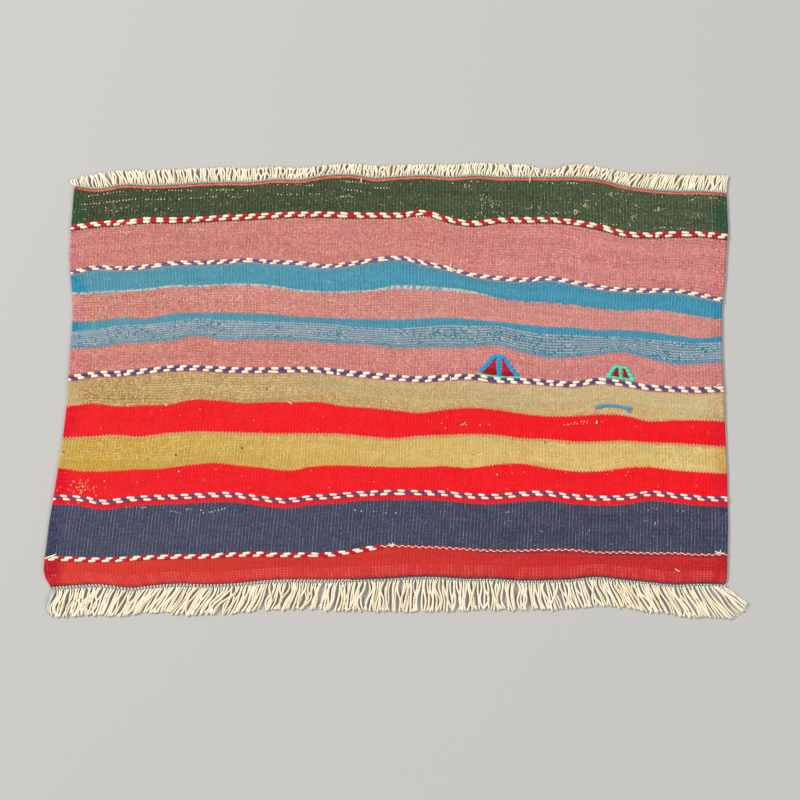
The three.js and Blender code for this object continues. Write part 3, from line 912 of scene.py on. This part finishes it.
# The darning yarn
# A short length of sky-blue wool lies on the beige stripe, caught down through the cloth at both ends,
# with two short knotted tails at the right.
YARN_ROUTE = ((240.5, -28.5), (249, -25.5), (258, -25), (267, -25.7), (276, -28), (283, -28.8))
YARN_TAILS = (((277.5, -28.2), (280.4, -30.2), (281.2, -33.6)), ((279, -28), (283, -28.4), (284.6, -27.6)))
DARNING_THICK = 2.5


def cloth_height(x, y):
    """How high the crests of the cloth lie at a place."""
    return CLOTH_TOP + HIGH_WARP + PUCKER * float(ripple(x, y, 3))


def lay_yarn(skein, route, thick, steps, above=0.4, sink=0.0, taper=0.2):
    """A yarn that lies smoothly on the cloth through the points of its route, and sinks at its ends."""
    last = len(route) - 1
    way = []
    for step in range(steps + 1):
        place = step / steps * last
        at = min(int(place), last - 1)
        near = (Vector(route[min(max(at + k, 0), last)]) for k in (-1, 0, 1, 2))
        flat = smooth(*near, place - at)
        rest = cloth_height(flat.x, flat.y) + thick * above - sink * abs(2 * step / steps - 1) ** 6
        way.append(Vector((flat.x, flat.y, rest)))
    sizes = [thick * (1 - taper * abs(2 * i / steps - 1) ** 4) for i in range(len(way))]
    skein.tube(way, sideways(way), sizes, sizes, 0)


random.seed(41)
darning = Skein()
lay_yarn(darning, YARN_ROUTE, DARNING_THICK, 28, sink=0.9)
for tail in YARN_TAILS:
    lay_yarn(darning, tail, DARNING_THICK * 0.8, 8, above=0.5, taper=0.35)
darned = darning.piece("darning_yarn", [yarn_material("darning_blue", (0, 162, 228), 3.4, 0.2)], "blue_wool")
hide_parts("blue_darning_yarn")

# Bare warps
# Where the weft is worn or was beaten in loosely, the pale cotton warps show as rows of dots, one to a
# rib, most of all in the green stripe. Each row is given by its two ends and the share of dots in it.
BARE_ROWS = (
    (-377, 230, -331, 236.5, 0.95), (-321, 237, -248, 237, 0.6), (-228, 238, -172, 237, 0.8),
    (-385, 220, -360, 221, 1.0), (-358, 222, -316, 227.5, 1.0), (-307, 226, -274, 226, 0.8),
    (-267, 227, -214, 229.5, 0.8), (-205, 229, -180, 229, 0.7), (-385, 213.5, -378, 213.5, 1.0),
    (-150, 244, -100, 243, 0.6), (-70, 249, -32, 245, 0.95), (-68, 239, -38, 235, 1.0),
    (-28, 240, -7, 240, 0.9), (-70, 229.5, -52, 229.5, 0.9), (-150, 232, -84, 233, 0.5),
    (63, 246, 101, 248.5, 0.6), (166, 246, 222, 246, 0.4), (40, 205, 110, 204, 0.4),
    (355, 225, 370, 229, 0.9), (318, 213, 330, 216, 0.9), (230, 233, 300, 232, 0.4),
    (-340, 194, -250, 200, 0.35), (-240, 202, -90, 205, 0.35), (120, 205, 190, 200, 0.35),
    (200, 199, 360, 190, 0.3),
    (-385, 193.5, -290, 202, 0.75), (-70, 203, 70, 206, 0.55),
    (-338, 186, -321, 186, 0.9), (-268, 189, -229, 189.5, 0.9), (-300, 178, -250, 180, 0.3),
    (-380, 140, -330, 142, 0.4), (-120, 143, -60, 143, 0.4), (349, 1.8, 376, 1.8, 0.9),
    (92, -84.7, 156, -82, 0.95), (94, -84.2, 154, -82, 0.9),
    (298, -152.5, 322, -151.5, 0.4), (330, -153, 358, -154, 0.35),
    (77, -48.3, 86, -48.3, 1.0), (90, -48.5, 118, -48.8, 0.4),
    (203, -48.2, 234, -46.2, 0.8), (216, -45.8, 235, -43.6, 0.9),
    (-275, -154, -262, -157, 1.0), (-258, -152, -248, -151, 0.9), (-240, -153, -234, -158, 1.0),
    (-230, -155, -207, -150, 0.9), (-330, -150, -300, -149, 0.4), (-60, -152, 20, -158, 0.3),
)

# Places where the bare dots lie scattered: the middle, how far they spread each way, and their number
BARE_PATCHES = (
    (-345, 214, 14, 5, 12), (-300, 212, 40, 5, 8), (106, 225, 9, 7, 16), (85, 241, 8, 4, 10),
    (118, 222, 8, 6, 9), (161, 216, 6, 3, 6), (128, 209, 10, 2, 8), (100, 209, 20, 2, 7),
    (190, 209, 24, 4, 9), (205, 225, 40, 9, 10),
    (230, 218, 5, 4, 9), (217, 211, 6, 3, 9), (260, 230, 7, 5, 6), (289, 204, 4, 3, 5),
    (290, 219, 3, 3, 4), (315, 213, 4, 3, 5), (362, 205, 10, 8, 12), (384, 227, 6, 3, 7),
    (228, 219.5, 5, 4, 9), (218, 210.5, 6, 3, 8), (288, 204, 4, 3, 6), (317, 214, 4, 3, 6),
    (-215, 235, 20, 6, 6), (-100, 222, 50, 9, 9), (0, 222, 30, 9, 5), (-384, -131, 22, 8, 16),
    (-380, -124, 26, 9, 34),
    (172, -180, 6, 3, 2), (231, -180, 8, 4, 4), (314, -174, 8, 12, 4), (135, -155, 8, 3, 5),
    (-200, 75, 50, 6, 8), (-100, 160, 60, 12, 9), (250, 160, 60, 14, 9), (390, 160, 6, 12, 7),
)


def lay_dot(skein, x, y, slot, wide=1.05, long=1.35):
    """A short length of warp that shows between two picks."""
    rest = cloth_height(x, y) - 0.35
    skein.over((x, y - long / 2), (x, y + long / 2), wide, 1.0, rest, 0.3, slot, rings=4, corners=6)


random.seed(53)
bare = Skein()
for start_x, start_y, end_x, end_y, share in BARE_ROWS:
    dots = int(abs(end_x - start_x) / 4) + 1
    for dot in range(dots):
        if random.random() < share:
            x = start_x + (end_x - start_x) * dot / dots + jitter(0.4)
            y = start_y + (end_y - start_y) * dot / dots + jitter(0.5)
            lay_dot(bare, x, y, int(random.random() < 0.4), random.uniform(1.2, 1.8))
for x, y, wide, high, dots in BARE_PATCHES:
    for dot in range(dots):
        lay_dot(bare, random.gauss(x, wide / 2), random.gauss(y, high / 2), int(random.random() < 0.8))
warp_cottons = [
    yarn_material("bare_warp", (255, 250, 206), underside_shade=0.0),
    yarn_material("worn_warp", (196, 190, 128), underside_shade=0.0),
]
bare.piece("bare_warps", warp_cottons)

# Loose ends and marks
# Ends of the cream and navy wefts that have worked out of the cloth, small knots, and a few dark slubs
# of wool that were spun or caught in.
LOOSE_ENDS = (
    (((160.6, 257), (161, 251.5), (160.2, 246.4)), 1.2),
    (((-44.7, 252), (-45, 249), (-44.4, 246)), 1.2), (((64.8, 150), (64, 146.5), (64.5, 141)), 1.2),
    (((60, 141.5), (66, 141.8), (72, 138)), 1.6), (((63.4, 10.6), (64.3, 7), (63.2, 3.7)), 1.3),
    (((384, -1.5), (390, -4.2), (396.5, -7)), 1.5), (((388, -2), (391, 1.2), (394, 0.4)), 1.1),
    (((386, -202.5), (391, -204.6), (398, -205.4)), 2.0), (((388, -207), (392, -204), (393, -200.5)), 1.2),
    (((-430, -211.5), (-424, -209), (-416, -206)), 1.8),
    (((-133.5, -20.5), (-131.5, -21.5), (-129, -23.3)), 1.3),
    (((-283.8, -23.6), (-282, -24.8), (-281, -24.8)), 1.2),
    (((337.6, -223.6), (340, -225.8), (343.6, -227)), 1.2),
    (((312, -17.4), (315, -18.2), (318, -17.7)), 0.6), (((-11, -193), (-7, -195.6), (-4, -193.6)), 1.5),
    (((-9, -197.5), (-6.5, -194), (-7, -191.5)), 1.1),
    (((242.4, -43.4), (241.8, -45.4), (242.6, -47.4)), 1.5),
)
KNOTS = (
    (152.5, 33, 1.7), (195, 16.6, 1.8), (81.7, -46, 1.3), (-344, -75, 1.3), (264, 9.5, 1.5),
    (379.4, -29.3, 1.7), (53.2, -46.9, 1.2), (58, -52.5, 1.2), (106.5, -67.8, 1.4), (110.2, -67.6, 1.4),
    (120.8, -109, 1.6), (-267, -105.4, 1.7),
)
SLUBS = (
    (-406.9, -81.7), (-270.8, -85.4), (-190.3, -76.9), (-160, -4.4), (312.5, 197.8), (313.4, 195.6),
    (18.3, 219.6), (19.5, 217.8), (-218, 74.4),
)

# Where short white ticks begin, left of the darning yarn, and how many there are; and the ribs of the
# near red band that a fine navy weft shows under
WHITE_TICKS = (228, -25.5, 14)
NAVY_RIBS = range(126, 199, 2)

random.seed(61)
loose = Skein()
for route, thick in LOOSE_ENDS:
    lay_yarn(loose, route, thick, 8, above=0.55, taper=0.3)
for x, y, size in KNOTS:
    loose.over((x - size / 2, y), (x + size / 2, y), size, 1.3, cloth_height(x, y), 0.6, 0, rings=5)
start_x, start_y, ticks = WHITE_TICKS
for tick in range(ticks):
    x = start_x + tick + jitter(0.3)
    y = start_y + 0.12 * tick + jitter(2.2)
    rest = cloth_height(x, y) - 0.2
    loose.over((x - 0.1, y - 0.8), (x + 0.2, y + 0.8), 0.65, 0.8, rest, 0.4, 0, rings=4, corners=6)
for x, y in SLUBS:
    lay_dot(loose, x, y, 1, 2.0, 2.6)
for rib in NAVY_RIBS:
    start, end = on_cloth(rib + 0.1, "red_near", -2.3), on_cloth(rib + 1.8, "red_near", -2.4)
    loose.over(start, end, 0.9, 1.0, CLOTH_TOP + 0.5, 0.4, 2, rings=4, corners=6)
end_wools = [cream_wool, yarn_material("dark_slub", (96, 74, 46)), yarn_material("navy_end", (66, 70, 104))]
loose.piece("loose_ends", end_wools)

# The floor, the lights and the camera
# The rug lies on a plain pale floor under one large soft light and an even sky, and the camera looks
# straight down at it.
FRAME_WIDTH = 0.976
FRAME_MIDDLE = (0.0024, -0.0183)
LENS = 85
SENSOR = 36

bpy.ops.mesh.primitive_plane_add(size=8, location=(0, 0, 0))
floor = bpy.context.object
floor.name = "studio_floor"
floor_paint = bpy.data.materials.new("floor_paint")
floor_paint.use_nodes = True
floor_shader = floor_paint.node_tree.nodes["Principled BSDF"]
floor_shader.inputs["Base Color"].default_value = dye(190, 188, 184)
floor_shader.inputs["Roughness"].default_value = 0.9
floor.data.materials.append(floor_paint)

world = bpy.data.worlds.new("studio_sky")
bpy.context.scene.world = world
world.use_nodes = True
world.node_tree.nodes["Background"].inputs["Color"].default_value = (1, 1, 1, 1)
world.node_tree.nodes["Background"].inputs["Strength"].default_value = 0.4


def soft_light(name, place, size, power):
    """A square soft light that faces the middle of the rug."""
    lamp = bpy.data.lights.new(name, "AREA")
    lamp.size = size
    lamp.energy = power
    made = bpy.data.objects.new(name, lamp)
    made.location = place
    made.rotation_euler = (-Vector(place)).to_track_quat("-Z", "Y").to_euler()
    bpy.context.scene.collection.objects.link(made)


soft_light("key_light", (-4.6, 2.4, 3.6), 1.1, 360)
soft_light("fill_light", (3.4, -2.0, 3.4), 3.0, 110)

camera_data = bpy.data.cameras.new("camera")
camera_data.lens = LENS
camera_data.sensor_width = SENSOR
camera = bpy.data.objects.new("camera", camera_data)
camera.location = (*FRAME_MIDDLE, FRAME_WIDTH * LENS / SENSOR)
bpy.context.scene.collection.objects.link(camera)
bpy.context.scene.camera = camera
bpy.context.scene.view_settings.view_transform = "Standard"
